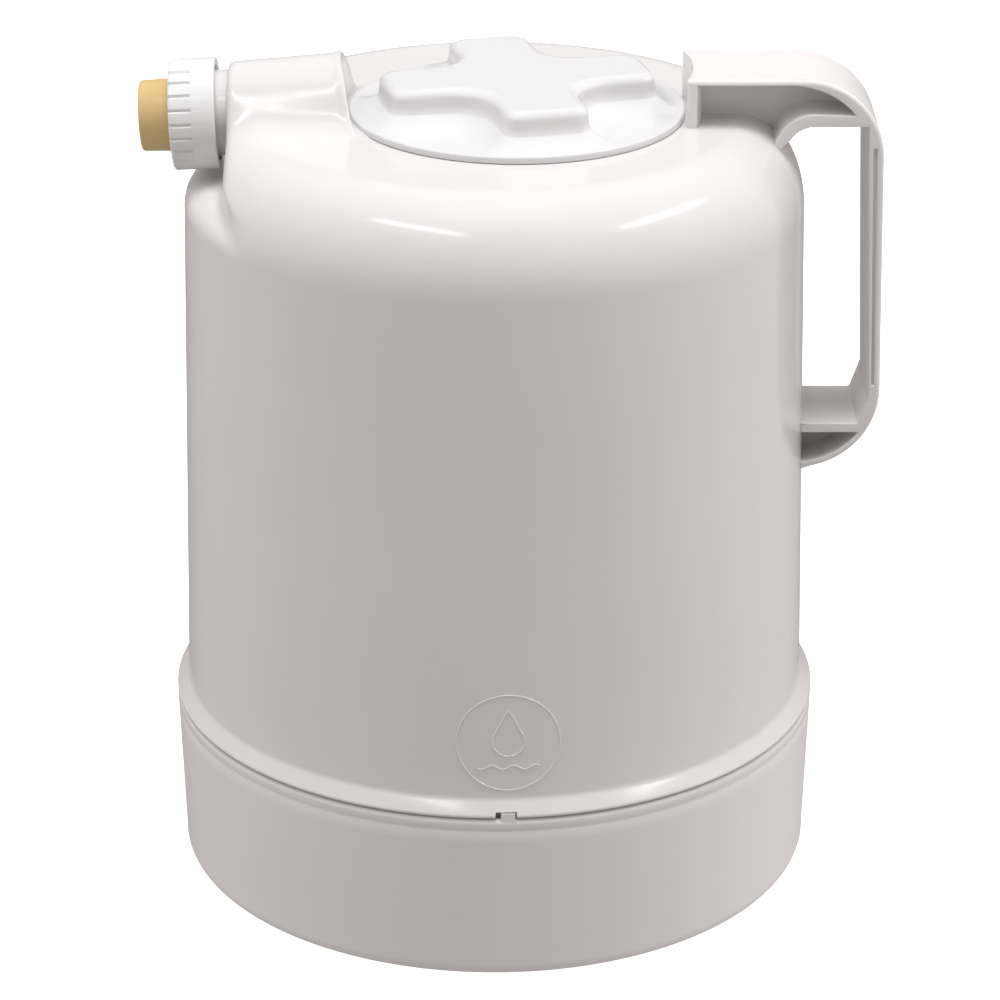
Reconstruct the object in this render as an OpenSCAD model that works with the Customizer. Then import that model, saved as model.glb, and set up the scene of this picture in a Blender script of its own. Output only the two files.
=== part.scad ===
// Heated dispensing vessel of about five litres: a moulded tank with a loop handle, a screw-in
// filler cap with a relief valve, a side outlet closed by a union nut and a rubber bung, and a
// base cup that holds the heater's wiring. Millimetres. The tank's axis is Z, the outlet points
// along -X, the handle is on +X, the front is -Y and the base stands on Z = 0.

/* [Tank] */
// Outside radius of the wall just above the flared skirt
wall_foot_r = 105; // [104.5:0.1:105.5]
// Outside radius of the wall where the shoulder begins
wall_top_r = 101.7; // [101:0.1:102.5]
// Radius of the flat top inside the shoulder
flat_r = 78; // [76:0.5:80]
// Height of the flat top above the table
top_z = 261; // [260.5:0.1:261.5]
// Height at which the shoulder begins
shoulder_z = 231; // [228:0.5:233]
// Thickness of the tank wall
wall_t = 2.6; // [2.2:0.1:3]

/* [Base cup] */
// Outside radius of the cup at its rim
rim_r = 109; // [108.5:0.1:109.5]
// Outside radius of the cup above its bottom rounding
foot_r = 107.4; // [107:0.1:108]
// Height of the cup's rim
rim_z = 58.5; // [58:0.1:58.6]
// Rounding of the cup's bottom edge
foot_round = 5; // [4:0.5:8]
// Thickness of the cup wall
cup_t = 2.4; // [2:0.1:2.6]

/* [Filler cap] */
// Distance of the cap's axis from the tank's axis, towards the handle
cap_x = 7.4; // [7:0.1:8]
// Radius of the cap's flange
cap_r = 54.75; // [54:0.05:55]
// Height of the cross knob's top
knob_z = 274.5; // [273:0.5:276]
// Reach of the knob's lobes from the cap's axis
lobe_reach = 44.5; // [44:0.5:48]
// Width of a lobe
lobe_w = 27; // [24:0.5:30]
// Advance of the cap's screw thread for one full turn
cap_lead = 16; // [14:1:18]

/* [Outlet] */
// Distance of the outlet's end face from the tank's axis
outlet_x = 86.5; // [86:0.1:87]
// Height of the outlet's axis at its end face
outlet_z = 261; // [260.8:0.1:261.2]
// Fall of the outlet's axis towards its mouth, in degrees
outlet_fall = 2.4; // [2:0.1:3]
// Outside radius of the union nut
nut_r = 18.2; // [17.7:0.1:18.2]
// Length of the union nut
nut_l = 15; // [14.8:0.1:15.2]
// Number of grip grooves around the nut
nut_grooves = 24; // [18:1:30]
// Advance of the nut's screw thread for one full turn
nut_lead = 8; // [7:0.5:9]

/* [Handle] */
// Width of the handle
handle_w = 35; // [32:0.5:38]
// Height of the handle's top face
handle_z = 277; // [276:0.1:277]

/* [Hidden] */
$fn = 96;
eps = 0.01;

// Tank
flare_z = 59.1;          // underside of the flared skirt
flare_h = 5.1;           // height of the flare
skirt_t = 2.4;           // wall of the skirt inside the cup
skirt_z = 50;            // lower end of that skirt
ledge_r = 90;            // inner radius of the ledge that the floor is screwed to
ledge_z = 62;            // underside of the ledge
ledge_t = 8;
notch_z = 240.5;         // floor of the step under the union nut
key_x = 3.8;             // middle of the notch for the cup's key
key_gap = 6.8;           // width of that notch
key_rise = 2;            // height of that notch
mouth_r = 46;            // bore of the filler mouth
mouth_t = 3;
mouth_z = 243;           // lower end of the filler mouth
gasket_groove = 1.4;     // depth of the gasket's groove in the tank's top
recess_r = 57;           // clearance cylinder around the cap, cut in ridge and handle

// Floor and its screws
floor_r = 102;
floor_z = 57;
floor_t = 3;
seal_t = 2;
floor_screw_n = 8;
floor_screw_r = 96.5;
base_screw_n = 4;
base_screw_r = 75;
boss_r = 5.5;
pillar_r = 6.5;
pillar_z = 46.8;

// Filler cap
flange_z = top_z + 0.15;
flange_top = top_z + 2.5;
foot_z = top_z + 6;      // height to which the flange sweeps up at the knob's foot
gasket_r = [47.2, 52];
gasket_t = 2;
gasket_z = top_z - gasket_groove;
plate_z = top_z - 1.8;   // underside of the plug's plate
plate_r = 45.4;
plug_z = top_z - 16;
plug_r = 43.9;
plug_t = 2.5;
thread_z = [plug_z + 1.5, top_z - 4];
mouth_thread_top = top_z - 4.5;
lobe_turn = 13.5;
cage_z = top_z - 18;     // bottom of the relief valve's cage
cage_r = 8.2;
relief_r = 6.2;          // bore of the cage
seat_t = 2;              // floor of the cage and thickness of the disc
relief_stem = 7;

// Outlet, in the outlet's own frame: s runs outwards from the end face
neck_r = 14;
neck_l = 12;
bore_r = 10;
nut_s = 3.4;
nut_clear = 1.6;         // radial room between the neck and the nut
nut_hole_r = 12.2;
nut_web = 2.6;           // thickness of the nut's end
washer_t = 1.2;
bung_s = 28.7;
bung_flange = [14.6, 2.4];
bung_r = [11.95, 11.6];
housing_r = 14.4;        // bore of the outlet's housing

// Handle
web_t = 3;               // thickness of the web between the bays
groove_depth = 1.3;      // depth of the grooves along the grip

// Heater
element_r = 62;
element_z = 76;
tube_r = 4;
leg_gap = 9;             // half the angle between the element's legs
leg_at = 180;            // direction of the legs
leg_low = 38;            // lower end of the element's pins
leg_z = 45;              // lower end of its sheath
earth_y = -40;           // place of the earth stud
disc_at = [-30, 30];     // place of the thermostat; the cut-out is its mirror image

// Cable gland
gland_at = 168;
gland_z = 12;
gland_flat = 103.4;

function arc(cx, cy, r, a0, a1, n = 12) =
    [for (i = [0:n]) let (a = a0 + (a1 - a0) * i / n) [cx + r * cos(a), cy + r * sin(a)]];

// Quarter ellipse of the shoulder, drawn inwards by the distance t
function shoulder(t, n = 14) =
    [for (i = [0:n]) let (a = 90 * i / n)
        [flat_r + (wall_top_r - flat_r - t) * cos(a), shoulder_z + (top_z - shoulder_z - t) * sin(a)]];

// Faces of a closed tube of n stretches whose n + 1 rings have m points each
function tube_faces(n, m) = concat(
    [[for (j = [m - 1:-1:0]) j]], [[for (j = [0:m - 1]) m * n + j]],
    [for (i = [0:n - 1]) for (j = [0:m - 1])
        [m * i + j, m * i + (j + 1) % m, m * (i + 1) + (j + 1) % m, m * (i + 1) + j]]);

function unit(v) = v / norm(v);

// ---- shared shapes ----

module at_cap() translate([cap_x, 0, 0]) children();

module at_outlet() translate([-outlet_x, 0, outlet_z]) rotate([0, -(90 + outlet_fall), 0]) children();

module ring(r_in, r_out, h) difference() {
    cylinder(r = r_out, h = h);
    translate([0, 0, -1]) cylinder(r = r_in, h = h + 2);
}

module around(n, r, start = 0)
    for (i = [0:n - 1]) rotate([0, 0, start + 360 * i / n]) translate([r, 0, 0]) children();

// Screw thread of trapezoid section. A positive rise stands out of the core of radius r, and a
// negative one stands into a bore. It climbs one lead in a turn and its ends taper away.
module thread(r, rise, lead, starts, z0, z1, base_w, tip_w, per_turn = 40) {
    s = sign(rise);
    n = ceil(per_turn * (z1 - z0) / lead);
    sink = 0.4 * s;
    for (k = [0:starts - 1]) rotate([0, 0, 360 * k / starts]) {
        points = [for (i = [0:n])
            let (a = 360 * (z1 - z0) / lead * i / n, z = z0 + (z1 - z0) * i / n,
                 grow = min(1, (i + 0.3) / 3, (n - i + 0.3) / 3))
            each [for (p = [[-sink, -base_w / 2], [rise * grow, -tip_w / 2],
                            [rise * grow, tip_w / 2], [-sink, base_w / 2]])
                [(r + p[0]) * cos(a), (r + p[0]) * sin(a), z + s * p[1]]]];
        polyhedron(points, tube_faces(n, 4), convexity = 6);
    }
}

// Round lead that runs through the points of a path
module lead_wire(path, r, sides = 8) {
    n = len(path) - 1;
    points = [for (i = [0:n])
        let (along = unit(path[min(i + 1, n)] - path[max(i - 1, 0)]),
             u = unit(cross(along, abs(along[2]) > 0.9 ? [1, 0.3, 0] : [0.1, 0, 1])), v = cross(along, u))
        each [for (j = [0:sides - 1]) let (b = 360 * j / sides) path[i] + r * (cos(b) * u + sin(b) * v)]];
    polyhedron(points, tube_faces(n, sides), convexity = 6);
}

module screw(head_r, head_h, shank_r, shank_l) {
    difference() {
        cylinder(r = head_r, h = head_h);
        translate([-head_r, -0.5, -1]) cube([2 * head_r, 1, 1 + head_h / 2]);
    }
    translate([0, 0, head_h - eps]) cylinder(r = shank_r, h = shank_l + eps);
}

// ---- tank ----

module tank_outside() {
    difference() {
        union() {
            rotate_extrude() polygon(concat(
                [[0, flare_z], [rim_r, flare_z], [wall_foot_r, flare_z + flare_h]],
                shoulder(0), [[0, top_z]]));
            at_outlet() translate([0, 0, -45]) cylinder(r1 = 18.7, r2 = 17, h = 45);
        }
        at_cap() translate([0, 0, top_z]) cylinder(r = recess_r, h = 40);
        notch(0);
    }
}

// Step under the union nut, grown by t for the cavity behind it
module notch(t)
    translate([-200, -120, notch_z - t]) cube([200 - outlet_x + t, 240, 60]);

module tank_cavity() difference() {
    union() {
        rotate_extrude() polygon(concat(
            [[0, flare_z - 1], [wall_foot_r - skirt_t, flare_z - 1]],
            [[wall_foot_r - skirt_t, flare_z + flare_h]],
            shoulder(wall_t), [[0, top_z - wall_t]]));
        at_outlet() translate([0, 0, -45]) cylinder(r = housing_r, h = 45 - wall_t);
    }
    notch(wall_t);
    at_cap() translate([0, 0, top_z - wall_t]) cylinder(r = recess_r, h = 40);
}

module tank_body() difference() {
    union() {
        difference() {
            tank_outside();
            tank_cavity();
        }
        translate([0, 0, skirt_z]) ring(wall_foot_r - skirt_t, wall_foot_r, flare_z - skirt_z + 1);
        translate([0, 0, ledge_z]) ring(ledge_r, wall_foot_r - skirt_t + 0.5, ledge_t);
        at_cap() translate([0, 0, mouth_z]) cylinder(r = mouth_r + mouth_t, h = top_z - mouth_z - eps);
        at_cap() translate([0, 0, top_z - 4.4]) cylinder(r = mouth_r + 9, h = 4.4 - eps);
        at_outlet() translate([0, 0, -3]) cylinder(r = neck_r, h = neck_l + 3);
        at_outlet() thread(neck_r, 1.2, nut_lead, 2, 4.6, 10.6, 1.8, 0.9, 32);
    }
    at_cap() translate([0, 0, mouth_z - 1]) cylinder(r = mouth_r, h = 40);
    at_cap() translate([0, 0, gasket_z]) ring(gasket_r[0] - 0.2, gasket_r[1] + 0.2, 5);
    at_outlet() translate([0, 0, -8]) cylinder(r = bore_r, h = 40);
    around(floor_screw_n, floor_screw_r, 22.5) translate([0, 0, ledge_z - 1]) cylinder(r = 1.6, h = 7);
    translate([key_x - key_gap / 2, -112, flare_z - 1])
        cube([key_gap, 112 - wall_foot_r - 0.2, key_rise + 1]);
}

module tank_shell() color("whitesmoke") {
    tank_body();
    at_cap() thread(mouth_r, -1.7, cap_lead, 2, plug_z + 5.5, mouth_thread_top, 3, 1.6);
}

module floor_seal() color("dimgray") difference() {
    translate([0, 0, ledge_z - seal_t]) ring(ledge_r + 1, floor_r, seal_t);
    around(floor_screw_n, floor_screw_r, 22.5) translate([0, 0, ledge_z - 5]) cylinder(r = 2.1, h = 8);
}

module tank_floor() color("gainsboro") difference() {
    union() {
        translate([0, 0, floor_z]) cylinder(r = floor_r, h = floor_t);
        around(base_screw_n, base_screw_r, 45) translate([0, 0, pillar_z + 0.2])
            cylinder(r = boss_r, h = floor_z - pillar_z);
    }
    around(floor_screw_n, floor_screw_r, 22.5) translate([0, 0, floor_z - 1]) cylinder(r = 2.1, h = 8);
    around(base_screw_n, base_screw_r, 45) translate([0, 0, pillar_z - 1]) cylinder(r = 1.9, h = 9.5);
    for (a = [-leg_gap, leg_gap]) rotate([0, 0, leg_at + a]) translate([element_r, 0, floor_z - 1])
        cylinder(r = tube_r + 0.2, h = 8);
    translate([0, earth_y, floor_z - 1]) cylinder(r = 2.05, h = 8);
}

module floor_screws() color("silver")
    around(floor_screw_n, floor_screw_r, 22.5) translate([0, 0, floor_z - 2.5]) screw(3.5, 2.5, 1.55, 10.5);

// ---- base ----

module base_cup() color("whitesmoke") difference() {
    union() {
        rotate_extrude() polygon(concat(
            [[0, 0]], arc(foot_r - foot_round, foot_round, foot_round, -90, 0, 8), arc(rim_r - 1.5, rim_z - 1.5, 1.5, 0, 90, 5),
            [[rim_r - cup_t, rim_z]], arc(foot_r - cup_t - 6, 8.4, 6, 0, -90, 6), [[0, cup_t]]));
        around(base_screw_n, base_screw_r, 45) cylinder(r = pillar_r, h = pillar_z);
        rotate([0, 0, 150]) rotate_extrude(angle = 39) translate([101, cup_t - 1])
            square([4.8, 30]);
        intersection() {
            translate([0, 0, rim_z - 3]) ring(rim_r - cup_t, rim_r - 0.3, 5.2);
            translate([key_x - 1.65, -112, rim_z - 3]) cube([4.6, 12, 5.2]);
        }
    }
    around(base_screw_n, base_screw_r, 45) {
        translate([0, 0, -1]) cylinder(r = 4.4, h = 31);
        cylinder(r = 2.1, h = 60);
    }
    rotate([0, 0, 152]) rotate_extrude(angle = 35)
        polygon([[104, -1], [104, 19], [107.9, 28.6], [112, 28.6], [112, -1]]);
    rotate([0, 0, gland_at]) translate([0, 0, gland_z]) rotate([0, 90, 0]) {
        translate([0, 0, gland_flat]) cylinder(r = 6.8, h = 10);
        cylinder(r = 4.7, h = 110);
    }
}

module base_screws() color("silver")
    around(base_screw_n, base_screw_r, 45) translate([0, 0, 27.4]) screw(4, 2.6, 1.85, 24.5);

// ---- filler cap ----

module cross_outline(reach, w) {
    fillet = 14;
    difference() {
        union() {
            for (a = [0, 90]) rotate(a) intersection() {
                square([2 * reach, w], center = true);
                circle(r = reach);
            }
            square(w + 2 * fillet, center = true);
        }
        for (a = [0:90:270]) rotate(a) translate([w / 2 + fillet, w / 2 + fillet]) circle(r = fillet);
    }
}

// Flange whose top sweeps up to the foot of the knob in three steps
module flange() {
    translate([0, 0, flange_z]) cylinder(r = cap_r, h = flange_top - flange_z - 0.8);
    translate([0, 0, flange_top - 0.8]) cylinder(r1 = cap_r, r2 = cap_r - 1, h = 0.8);
    for (step = [[5.5, 0.2], [3.4, 0.45], [1.8, 0.75], [0.9, 1]])
        rotate(lobe_turn) translate([0, 0, flange_top - 1])
            linear_extrude(1 + step[1] * (foot_z - flange_top))
                cross_outline(lobe_reach + step[0], lobe_w + 2 * step[0]);
}

module cap_knob() color("white") at_cap() difference() {
    union() {
        flange();
        rotate(lobe_turn) translate([0, 0, flange_top - 1]) {
            linear_extrude(knob_z - flange_top) cross_outline(lobe_reach, lobe_w);
            linear_extrude(knob_z - flange_top + 1) cross_outline(lobe_reach - 1.2, lobe_w - 2.4);
        }
    }
    translate([0, 0, flange_z - 1]) cylinder(r = 53, h = 1.45);
    rotate(lobe_turn) translate([0, 0, flange_z])
        linear_extrude(knob_z - flange_z - 2.4) cross_outline(lobe_reach - 3, lobe_w - 5);
    rotate([0, 0, lobe_turn + 90]) translate([lobe_reach - 6, 0, foot_z + 2]) rotate([0, 90, 0])
        cylinder(r = 1.5, h = 10);
}

module cap_plug() color("gainsboro") at_cap() difference() {
    union() {
        translate([0, 0, plate_z]) cylinder(r = plate_r, h = 2.4);
        translate([0, 0, plug_z]) ring(plug_r - plug_t, plug_r, plate_z - plug_z + eps);
        thread(plug_r, 1.5, cap_lead, 2, thread_z[0], thread_z[1], 3, 1.6);
    }
    around(3, 4.3) translate([0, 0, plate_z - 9]) cylinder(r = 1.2, h = 20);
}

module cap_gasket() color("dimgray") at_cap()
    translate([0, 0, gasket_z]) ring(gasket_r[0], gasket_r[1], gasket_t);

module relief_cage() color("silver") at_cap() difference() {
    translate([0, 0, cage_z]) cylinder(r = cage_r, h = plate_z - cage_z);
    translate([0, 0, cage_z + seat_t]) cylinder(r = relief_r, h = 20);
    translate([0, 0, cage_z - 1]) cylinder(r = relief_r / 2, h = 5);
}

module relief_disc() color("firebrick") at_cap() translate([0, 0, cage_z + seat_t]) {
    cylinder(r = relief_r - 0.3, h = seat_t);
    translate([0, 0, seat_t - eps]) cylinder(r = 1.6, h = relief_stem);
}

module relief_spring() color("silver") at_cap() {
    turns = 5;
    wire = 0.45;
    coil_r = 3.4;
    low = cage_z + 2 * seat_t + wire;
    high = plate_z - wire;
    n = 16 * turns;
    points = [for (i = [0:n]) let (a = 360 * turns * i / n, z = low + (high - low) * i / n)
        each [for (b = [0:60:300]) let (r = coil_r + wire * cos(b))
            [r * cos(a), r * sin(a), z + wire * sin(b)]]];
    polyhedron(points, tube_faces(n, 6), convexity = 10);
}

// ---- outlet ----

module union_nut() color("white") at_outlet() translate([0, 0, nut_s]) {
    nut_bore = neck_r + nut_clear;
    difference() {
        union() {
            cylinder(r = nut_r, h = nut_l - 0.8);
            translate([0, 0, nut_l - 0.8]) cylinder(r1 = nut_r, r2 = nut_r - 0.8, h = 0.8);
        }
        translate([0, 0, -1]) cylinder(r = nut_bore, h = 1 + nut_l - nut_web);
        cylinder(r = nut_hole_r, h = 30);
        around(nut_grooves, nut_r + 0.2) translate([0, 0, nut_l / 2]) rotate([0, 0, 45])
            translate([-0.6, -0.6, 0]) cube([1.2, 1.2, 20]);
    }
    thread(nut_bore, -1.2, nut_lead, 2, 3.2, 9.2, 1.8, 0.9, 32);
}

module outlet_washer() color("dimgray") at_outlet() translate([0, 0, neck_l]) ring(bore_r, neck_r, washer_t);

module outlet_bung() color("burlywood") at_outlet() {
    flange_s = neck_l + washer_t;
    tip = 1;
    translate([0, 0, 2]) cylinder(r1 = bore_r - 1.4, r2 = bore_r - 0.4, h = flange_s - 2 + eps);
    translate([0, 0, flange_s]) cylinder(r = bung_flange[0], h = bung_flange[1]);
    translate([0, 0, flange_s + bung_flange[1] - 0.1])
        cylinder(r1 = bung_r[0], r2 = bung_r[1], h = bung_s - tip - flange_s - bung_flange[1] + 0.1);
    translate([0, 0, bung_s - tip]) cylinder(r1 = bung_r[1], r2 = bung_r[1] - 0.75, h = tip);
}

// ---- handle ----

module handle_outline() polygon(concat(
    [[50, handle_z]], arc(99.5, handle_z - 26.5, 26.5, 90, 0, 12),
    arc(100, 170, 27.6, 4, -78, 12), [[88, 142], [50, 142]]));

module finger_gap() polygon(concat(
    [[88, 158.5], [120.5, 158.5], [123.8, 168], [120.8, 261.3]],
    arc(103.5, 252, 9.3, 90, 150, 6), [[88, 250]]));

module upper_bay() polygon(concat(
    [[67.8, handle_z - 1.8]], arc(95, handle_z - 29.8, 28, 90, 40, 8),
    arc(103.5, 252, 13.4, 90, 150, 6), [[88, 250], [67.8, 250]]));

module lower_bay() polygon(concat(
    [[88, 155.3]], arc(100, 170, 25.4, -35.5, -85, 8), [[88, 144.6]]));

module grip_groove() polygon([[122.4, 254], [123.7, 254], [125.5, 172], [124.6, 172]]);

module slab(w, y = 0) translate([0, y, 0]) rotate([90, 0, 0]) linear_extrude(w, center = true) children();

module handle() color("whitesmoke") difference() {
    slab(handle_w) difference() {
        handle_outline();
        finger_gap();
    }
    for (s = [-1, 1]) {
        slab(handle_w, s * (handle_w / 2 + web_t / 2)) upper_bay();
        slab(handle_w, s * (handle_w / 2 + web_t / 2)) lower_bay();
        slab(handle_w, s * (handle_w - groove_depth)) grip_groove();
    }
    tank_outside();
    translate([0, 0, flare_z + 40]) cylinder(r = wall_top_r - 4, h = 160);
    at_cap() cylinder(r = recess_r, h = 300);
}

// ---- heater and wiring ----

module heater_element() color("silver") {
    translate([0, 0, element_z]) rotate([0, 0, leg_at + leg_gap])
        rotate_extrude(angle = 360 - 2 * leg_gap)
            translate([element_r, 0]) circle(r = tube_r - 0.3, $fn = 32);
    on_legs(0) {
        translate([0, 0, leg_z]) cylinder(r = tube_r, h = element_z + tube_r - leg_z);
        translate([0, 0, leg_low]) cylinder(r = 1.6, h = leg_z - leg_low + eps);
    }
}

module element_clip() color("silver") translate([element_r, 0, 60]) difference() {
    translate([-6, -4, 0]) cube([12, 8, 15]);
    translate([0, 0, element_z - 60]) rotate([90, 0, 0]) cylinder(r = tube_r + 0.05, h = 20, center = true);
    translate([-4, -5, 1.5]) cube([8, 10, 8]);
}

module on_legs(z) for (a = [-leg_gap, leg_gap])
    rotate([0, 0, leg_at + a]) translate([element_r, 0, z]) children();

module element_washers() color("firebrick") on_legs(60) ring(tube_r + 0.05, 7.5, 1.6);

module element_nuts() color("goldenrod") on_legs(floor_z - 5) difference() {
    cylinder(r = 8, h = 5, $fn = 6);
    translate([0, 0, -1]) cylinder(r = tube_r + 0.05, h = 8);
}

module snap_disc(body_r, body_h) {
    translate([0, 0, floor_z - body_h]) cylinder(r = body_r, h = body_h);
    translate([0, 0, floor_z - 2]) cylinder(r = body_r + 2, h = 2);
    for (s = [-1, 1]) translate([s * body_r / 2 - 1.5, -0.4, floor_z - body_h - 7]) cube([3, 0.8, 7 + eps]);
}

module thermostat() color("peru") translate([disc_at[0], disc_at[1], 0]) snap_disc(9, 9);

module thermal_cutout() color("peru") translate([disc_at[0], -disc_at[1], 0]) snap_disc(7, 8);

module earth_stud() color("goldenrod") translate([0, earth_y, 0]) {
    translate([0, 0, floor_z - 8]) cylinder(r = 2, h = 8 + floor_t + 1);
    translate([0, 0, floor_z - 3]) cylinder(r = 4, h = 3, $fn = 6);
    translate([0, 0, floor_z + floor_t]) cylinder(r = 4, h = 1.5);
}

// Poles of the terminal block along Y
block_x = -70;
pole_y = [-10, 0, 10];

module terminal_block() color("ivory") difference() {
    translate([block_x - 9, -16, cup_t]) cube([18, 32, 15]);
    for (y = pole_y) {
        translate([block_x - 20, y, cup_t + 6]) rotate([0, 90, 0]) cylinder(r = 1.9, h = 40);
        translate([block_x, y, cup_t + 8]) cylinder(r = 2.05, h = 20);
    }
}

module terminal_screws() color("silver") for (y = pole_y) translate([block_x, y, cup_t + 8.2]) difference() {
    cylinder(r = 2, h = 5);
    translate([-3, -0.4, 4]) cube([6, 0.8, 2]);
}

module at_gland() rotate([0, 0, gland_at]) translate([0, 0, gland_z]) rotate([0, 90, 0]) children();

module cable_gland() color("dimgray") at_gland() difference() {
    union() {
        translate([0, 0, 92]) cylinder(r = 4.65, h = 12);
        translate([0, 0, gland_flat]) cylinder(r = 6.7, h = 2.6);
    }
    translate([0, 0, 80]) cylinder(r = 3.6, h = 40);
}

module gland_nut() color("dimgray") at_gland() translate([0, 0, 95.5]) difference() {
    cylinder(r = 8, h = 5, $fn = 6);
    translate([0, 0, -1]) cylinder(r = 4.7, h = 8);
}

wire_r = 1.3;
wire_z = cup_t + 6;
leg_x = -element_r * cos(leg_gap);
leg_y = element_r * sin(leg_gap);

wire_low = 34;           // height at which the leads turn up to their tags

module lead_live() color("saddlebrown") lead_wire([
    [block_x + 2, 10, wire_z], [-52, 10, wire_z], [-40, 22, 24],
    [-34.5, disc_at[1], wire_low + 2], [-34.5, disc_at[1], 41]], wire_r);

module lead_link() color("saddlebrown") lead_wire([
    [-25.5, disc_at[1], 41], [-25.5, disc_at[1], wire_low], [-20, 0, 30],
    [-26.5, -disc_at[1], wire_low], [-26.5, -disc_at[1], 42]], wire_r);

module lead_element() color("saddlebrown") lead_wire([
    [-33.5, -disc_at[1], 42], [-33.5, -disc_at[1], wire_low], [-45, -22, 30],
    [leg_x, -leg_y, 33], [leg_x, -leg_y, leg_low]], wire_r);

module lead_neutral() color("steelblue") lead_wire([
    [block_x + 2, 0, wire_z], [-50, 0, wire_z], [-50, 5, 26],
    [leg_x, leg_y, 32], [leg_x, leg_y, leg_low]], wire_r);

module lead_earth() color("olivedrab") lead_wire([
    [block_x + 2, -10, wire_z], [-44, -10, wire_z], [-20, -34, 26],
    [0, earth_y, 40], [0, earth_y, floor_z - 8]], wire_r);

tank_shell();
handle();
floor_seal();
tank_floor();
floor_screws();
base_cup();
base_screws();
cap_knob();
cap_plug();
cap_gasket();
relief_cage();
relief_disc();
relief_spring();
union_nut();
outlet_bung();
outlet_washer();
heater_element();
element_clip();
element_washers();
element_nuts();
thermostat();
thermal_cutout();
earth_stud();
terminal_block();
terminal_screws();
cable_gland();
gland_nut();
lead_live();
lead_link();
lead_element();
lead_neutral();
lead_earth();
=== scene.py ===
# %% [markdown]
# # A moulded dispensing vessel, piece by piece
# This lesson dresses a finished CAD model of a five-litre dispensing vessel. The CAD model gives every
# size, every joint and the collision shapes. Here the visible pieces get smooth meshes with rounded edges,
# and every surface gets a procedural material. Lengths are written in millimetres and turned into metres
# when a mesh is made, because people who make mouldings think in millimetres.

# %% Load the frame and the tools
import math

import bmesh
import bpy
import numpy as np
from mathutils import Matrix, Vector
from mathutils.geometry import delaunay_2d_cdt


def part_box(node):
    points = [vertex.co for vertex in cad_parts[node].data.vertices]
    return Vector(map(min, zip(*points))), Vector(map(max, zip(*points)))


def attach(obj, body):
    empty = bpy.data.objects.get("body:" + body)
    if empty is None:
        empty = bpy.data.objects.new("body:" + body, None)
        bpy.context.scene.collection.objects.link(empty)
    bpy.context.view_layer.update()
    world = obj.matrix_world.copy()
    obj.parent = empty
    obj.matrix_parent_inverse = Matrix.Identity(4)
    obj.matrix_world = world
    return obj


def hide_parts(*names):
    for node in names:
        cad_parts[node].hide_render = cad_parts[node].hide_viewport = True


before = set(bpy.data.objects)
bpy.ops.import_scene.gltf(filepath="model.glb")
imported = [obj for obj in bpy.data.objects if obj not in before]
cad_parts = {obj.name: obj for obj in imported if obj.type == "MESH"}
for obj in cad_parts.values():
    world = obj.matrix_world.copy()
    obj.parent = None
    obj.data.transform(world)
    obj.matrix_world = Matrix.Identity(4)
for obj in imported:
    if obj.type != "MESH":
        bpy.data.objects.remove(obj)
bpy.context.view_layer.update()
MM = 0.001


def span(node):
    """Lowest and highest corner of a CAD node in millimetres."""
    low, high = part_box(node)
    return np.array(low) / MM, np.array(high) / MM


shell_low, _ = span("tank_shell")
_, cup_high = span("base_cup")
cap_low, cap_high = span("cap_knob")
handle_low, handle_high = span("handle")

# %% [markdown]
# ## The sizes that the pieces share
# A moulding is described by a few radii and heights. They are the same ones as in the CAD model, so each
# mesh below sits where its CAD piece sits. Where the CAD box already holds the number, it is read from there.

# %% Shared sizes, in millimetres
RIM_R = cup_high[1]                      # outside radius of cup and flare at the seam
FLARE_Z = 59.1                           # underside of the tank's flared skirt
FLARE_H = 5.1
WALL_FOOT_R = 105.0                      # wall radius just above the flare
WALL_TOP_R = 101.7                       # wall radius where the shoulder begins
SHOULDER_Z = 231.0
FLAT_R = 78.0                            # flat top inside the shoulder
TOP_Z = 261.0
WALL = 2.6
SKIRT_Z = shell_low[2]
CAP_X = (cap_low[0] + cap_high[0]) / 2   # the cap's axis, towards the handle
CAP_R = (cap_high[0] - cap_low[0]) / 2
KNOB_Z = cap_high[2]
RECESS_R = 57.0                          # clearance round the cap
MOUTH_R = 46.0
OUTLET_X = 86.5                          # end face of the outlet's housing
OUTLET_Z = 261.0
FALL = math.radians(2.4)                 # the outlet points slightly downwards
NECK_R = 14.0
NECK_L = 12.0
NOTCH_Z = 240.5                          # floor of the step under the union nut
HANDLE_W = handle_high[1] - handle_low[1]
HANDLE_Z = handle_high[2]
print(f"tank {2 * RIM_R:.1f} mm across, cap {2 * CAP_R:.1f} mm, handle {HANDLE_W:.1f} mm wide")

# %% [markdown]
# ## Small mesh helpers
# Most moulded pieces are grids of points: rings along a profile, columns round an axis. One function turns
# a grid into faces, and another makes the object, points it outwards and smooths it. Edges sharper than the
# given angle stay crisp, as they do on a real moulding.


# %% Grid faces, objects and solids of revolution
def grid_faces(rows, cols, close_rows=False, close_cols=True):
    """Quads of a grid of rows x cols points, wrapped where it is closed."""
    last_row = rows if close_rows else rows - 1
    last_col = cols if close_cols else cols - 1
    r, c = np.meshgrid(np.arange(last_row), np.arange(last_col), indexing="ij")
    r2, c2 = (r + 1) % rows, (c + 1) % cols
    quads = np.stack([r * cols + c, r * cols + c2, r2 * cols + c2, r2 * cols + c], -1)
    return quads.reshape(-1, 4).tolist()


def shade(obj, angle=35.0):
    """Smooth shading with edges above the angle kept sharp."""
    obj.data.shade_smooth()
    obj.data.set_sharp_from_angle(angle=math.radians(angle))


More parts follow.
